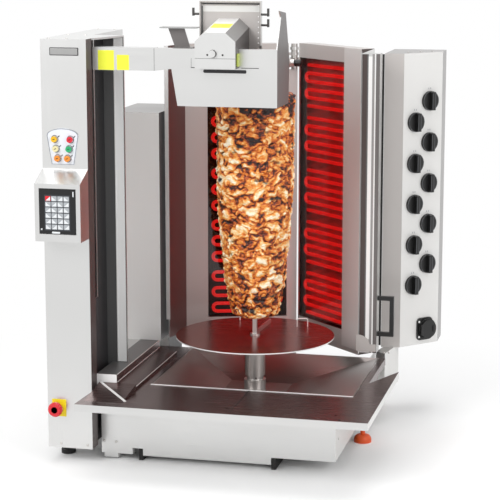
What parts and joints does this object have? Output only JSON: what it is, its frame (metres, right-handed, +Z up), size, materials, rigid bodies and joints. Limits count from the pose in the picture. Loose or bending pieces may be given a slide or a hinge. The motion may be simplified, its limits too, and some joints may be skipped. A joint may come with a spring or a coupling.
{
  "type": "automatic electric doner kebab grill",
  "caption": "Countertop automatic vertical grill with a turning spit, two electric burner wings, a lifting cutter arm, a control column and a drip tray.",
  "frame": {"origin": "centre of the overall bounding box on the surface the grill stands on", "axes": "+Z up, +X to the right seen from the front, +Y to the back"},
  "size_m": [0.974, 0.965, 1.257],
  "materials": {
    "sheet_steel": "brushed stainless sheet",
    "dark_steel": "polished stainless that reflects the dark and the heat",
    "light_panel": "satin",
    "rubber_feet": "matt",
    "cup_foot": "matt",
    "machined_steel": "turned",
    "heater_glass": "dark glass ceramic",
    "heater_tube": "glowing",
    "meat": "rough roasted meat",
    "black_plastic": "satin",
    "estop_red": "gloss",
    "panel_film": "satin film",
    "button_yellow": "gloss",
    "button_red": "gloss",
    "button_cream": "gloss",
    "button_green": "gloss",
    "button_orange": "gloss"
  },
  "bodies": {
    "root": {"base_box": "sheet_steel", "column_casing": "sheet_steel", "side_beam": "sheet_steel", "rear_cabinet": "sheet_steel", "control_box": "sheet_steel", "post_bracket": "sheet_steel", "tray_frame": "sheet_steel", "screen_box": "sheet_steel", "drip_channel": "dark_steel", "grease_basin": "dark_steel", "guide_rods": "machined_steel", "pillar": "machined_steel", "centre_post": "machined_steel", "top_bearing_arm": "machined_steel", "spit_gearmotor": "machined_steel", "lift_motor": "machined_steel", "feet_and_skids": "rubber_feet", "cup_feet": "cup_foot", "socket_body": "black_plastic", "button_panel": "panel_film"},
    "spit": {"spit_disc": "dark_steel", "spit_rod": "machined_steel", "doner_meat": "meat"},
    "carriage": {"carriage_arm": "sheet_steel", "hood_plate": "sheet_steel", "motor_housing": "light_panel", "blade_motor": "machined_steel", "rear_plate": "sheet_steel", "flag_bracket": "sheet_steel"},
    "blade": {"cutter_blade": "machined_steel"},
    "lift_screw": {"lift_screw": "machined_steel"},
    "left_wing": {"left_burner_housing": "sheet_steel", "left_burner_glass": "heater_glass", "left_heater_elements": "heater_tube"},
    "right_wing": {"right_burner_housing": "sheet_steel", "right_burner_glass": "heater_glass", "right_heater_elements": "heater_tube", "wing_handle": "black_plastic"},
    "cover_left": {"cover_left": "dark_steel"},
    "cover_right": {"cover_right": "dark_steel"},
    "drip_drawer": {"drip_drawer": "sheet_steel"},
    "estop": {"estop_button": "estop_red"},
    "clamp_knob": {"clamp_knob": "black_plastic"},
    "socket_flap": {"socket_flap": "black_plastic"},
    "control_knob_1": {"control_knob_1": "black_plastic"},
    "control_knob_2": {"control_knob_2": "black_plastic"},
    "control_knob_3": {"control_knob_3": "black_plastic"},
    "control_knob_4": {"control_knob_4": "black_plastic"},
    "control_knob_5": {"control_knob_5": "black_plastic"},
    "control_knob_6": {"control_knob_6": "black_plastic"},
    "control_knob_7": {"control_knob_7": "black_plastic"},
    "control_knob_8": {"control_knob_8": "black_plastic"},
    "control_knob_9": {"control_knob_9": "black_plastic"},
    "control_knob_10": {"control_knob_10": "black_plastic"},
    "push_button_1": {"push_button_1": "button_yellow"},
    "push_button_2": {"push_button_2": "button_red"},
    "push_button_3": {"push_button_3": "button_cream"},
    "push_button_4": {"push_button_4": "button_green"},
    "push_button_5": {"push_button_5": "button_orange"},
    "push_button_6": {"push_button_6": "button_orange"}
  },
  "joints": [
    {"name": "spit_spin", "type": "hinge", "parent": "root", "child": "spit", "pos_m": [0.02, -0.025, 0.31], "axis": [0, 0, 1], "continuous": true},
    {"name": "arm_lift", "type": "slide", "parent": "root", "child": "carriage", "axis": [0, 0, 1], "range_m": [-0.6, 0]},
    {"name": "blade_spin", "type": "hinge", "parent": "carriage", "child": "blade", "pos_m": [-0.0135, -0.156, 1.034], "axis": [0, 1, 0], "continuous": true},
    {"name": "screw_turn", "type": "hinge", "parent": "root", "child": "lift_screw", "pos_m": [-0.445, -0.263, 0.6], "axis": [0, 0, 1], "range_deg": [-10801, 1]},
    {"name": "left_wing_swing", "type": "hinge", "parent": "root", "child": "left_wing", "pos_m": [0.05, 0.358, 0.6], "axis": [0, 0, 1], "range_deg": [0, 8]},
    {"name": "right_wing_swing", "type": "hinge", "parent": "root", "child": "right_wing", "pos_m": [0.05, 0.358, 0.6], "axis": [0, 0, 1], "range_deg": [-8, 8]},
    {"name": "cover_left_lift", "type": "slide", "parent": "root", "child": "cover_left", "axis": [0, 0, 1], "range_m": [0, 0.06]},
    {"name": "cover_right_lift", "type": "slide", "parent": "root", "child": "cover_right", "axis": [0, 0, 1], "range_m": [0, 0.06]},
    {"name": "drawer_slide", "type": "slide", "parent": "root", "child": "drip_drawer", "axis": [0, -1, 0], "range_m": [0, 0.3]},
    {"name": "control_knob_1_turn", "type": "hinge", "parent": "root", "child": "control_knob_1", "pos_m": [0.45419, 0.36453, 0.9488], "axis": [0.7243, -0.6895, 0], "range_deg": [-270, 0]},
    {"name": "control_knob_2_turn", "type": "hinge", "parent": "root", "child": "control_knob_2", "pos_m": [0.41834, 0.32687, 0.8888], "axis": [0.7243, -0.6895, 0], "range_deg": [-270, 0]},
    {"name": "control_knob_3_turn", "type": "hinge", "parent": "root", "child": "control_knob_3", "pos_m": [0.45419, 0.36453, 0.8273], "axis": [0.7243, -0.6895, 0], "range_deg": [-270, 0]},
    {"name": "control_knob_4_turn", "type": "hinge", "parent": "root", "child": "control_knob_4", "pos_m": [0.41834, 0.32687, 0.7673], "axis": [0.7243, -0.6895, 0], "range_deg": [-270, 0]},
    {"name": "control_knob_5_turn", "type": "hinge", "parent": "root", "child": "control_knob_5", "pos_m": [0.45419, 0.36453, 0.7058], "axis": [0.7243, -0.6895, 0], "range_deg": [-270, 0]},
    {"name": "control_knob_6_turn", "type": "hinge", "parent": "root", "child": "control_knob_6", "pos_m": [0.41834, 0.32687, 0.6458], "axis": [0.7243, -0.6895, 0], "range_deg": [-270, 0]},
    {"name": "control_knob_7_turn", "type": "hinge", "parent": "root", "child": "control_knob_7", "pos_m": [0.45419, 0.36453, 0.5843], "axis": [0.7243, -0.6895, 0], "range_deg": [-270, 0]},
    {"name": "control_knob_8_turn", "type": "hinge", "parent": "root", "child": "control_knob_8", "pos_m": [0.41834, 0.32687, 0.5243], "axis": [0.7243, -0.6895, 0], "range_deg": [-270, 0]},
    {"name": "control_knob_9_turn", "type": "hinge", "parent": "root", "child": "control_knob_9", "pos_m": [0.45419, 0.36453, 0.4628], "axis": [0.7243, -0.6895, 0], "range_deg": [-270, 0]},
    {"name": "control_knob_10_turn", "type": "hinge", "parent": "root", "child": "control_knob_10", "pos_m": [0.41834, 0.32687, 0.4028], "axis": [0.7243, -0.6895, 0], "range_deg": [-270, 0]},
    {"name": "push_button_1_press", "type": "slide", "parent": "root", "child": "push_button_1", "axis": [0, 1, 0], "range_m": [0, 0.0025], "stiffness_N_per_m": 600},
    {"name": "push_button_2_press", "type": "slide", "parent": "root", "child": "push_button_2", "axis": [0, 1, 0], "range_m": [0, 0.0025], "stiffness_N_per_m": 600},
    {"name": "push_button_3_press", "type": "slide", "parent": "root", "child": "push_button_3", "axis": [0, 1, 0], "range_m": [0, 0.0025], "stiffness_N_per_m": 600},
    {"name": "push_button_4_press", "type": "slide", "parent": "root", "child": "push_button_4", "axis": [0, 1, 0], "range_m": [0, 0.0025], "stiffness_N_per_m": 600},
    {"name": "push_button_5_press", "type": "slide", "parent": "root", "child": "push_button_5", "axis": [0, 1, 0], "range_m": [0, 0.0025], "stiffness_N_per_m": 600},
    {"name": "push_button_6_press", "type": "slide", "parent": "root", "child": "push_button_6", "axis": [0, 1, 0], "range_m": [0, 0.0025], "stiffness_N_per_m": 600},
    {"name": "estop_press", "type": "slide", "parent": "root", "child": "estop", "axis": [0, 1, 0], "range_m": [0, 0.004]},
    {"name": "clamp_turn", "type": "hinge", "parent": "root", "child": "clamp_knob", "pos_m": [0.062, 0.3, 1.057], "axis": [1, 0, 0], "range_deg": [0, 360]},
    {"name": "flap_open", "type": "hinge", "parent": "root", "child": "socket_flap", "pos_m": [0.46525, 0.35469, 0.2915], "axis": [-0.6895, -0.7243, 0], "range_deg": [0, 100], "stiffness_Nm_per_rad": 0.02}
  ],
  "couplings": [
    {"joint": "screw_turn", "follows": "arm_lift", "rad_per_m": 314.16}
  ]
}
